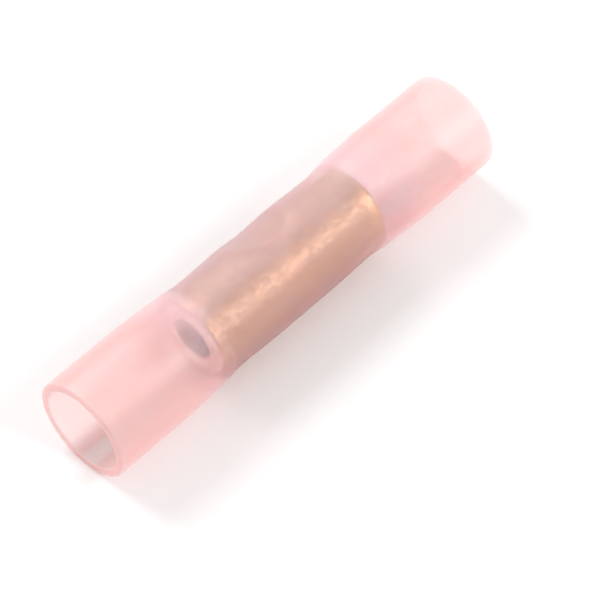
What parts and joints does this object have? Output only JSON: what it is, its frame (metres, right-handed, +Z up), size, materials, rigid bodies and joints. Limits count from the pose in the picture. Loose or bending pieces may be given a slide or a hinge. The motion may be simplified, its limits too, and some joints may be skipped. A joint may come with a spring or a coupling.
{
  "type": "butt splice connector",
  "caption": "Tubular heat-shrink butt splice: a translucent pink sleeve with wide open mouths, drawn down over a brass crimp barrel with a pressed wire stop.",
  "frame": {"origin": "on the surface that the two mouths rest on, below the middle of the connector", "axes": "+X along the connector's axis, +Z up; the wire stop is pressed in from the upper +Y side"},
  "size_m": [0.0286, 0.006, 0.006],
  "materials": {
    "sleeve_plastic": "translucent pale pink heat-shrink tube, smooth and slightly cloudy",
    "barrel_metal": "bare golden crimp metal, drawn along its length"
  },
  "bodies": {
    "root": {"sleeve": "sleeve_plastic", "crimp_barrel": "barrel_metal"}
  },
  "joints": []
}
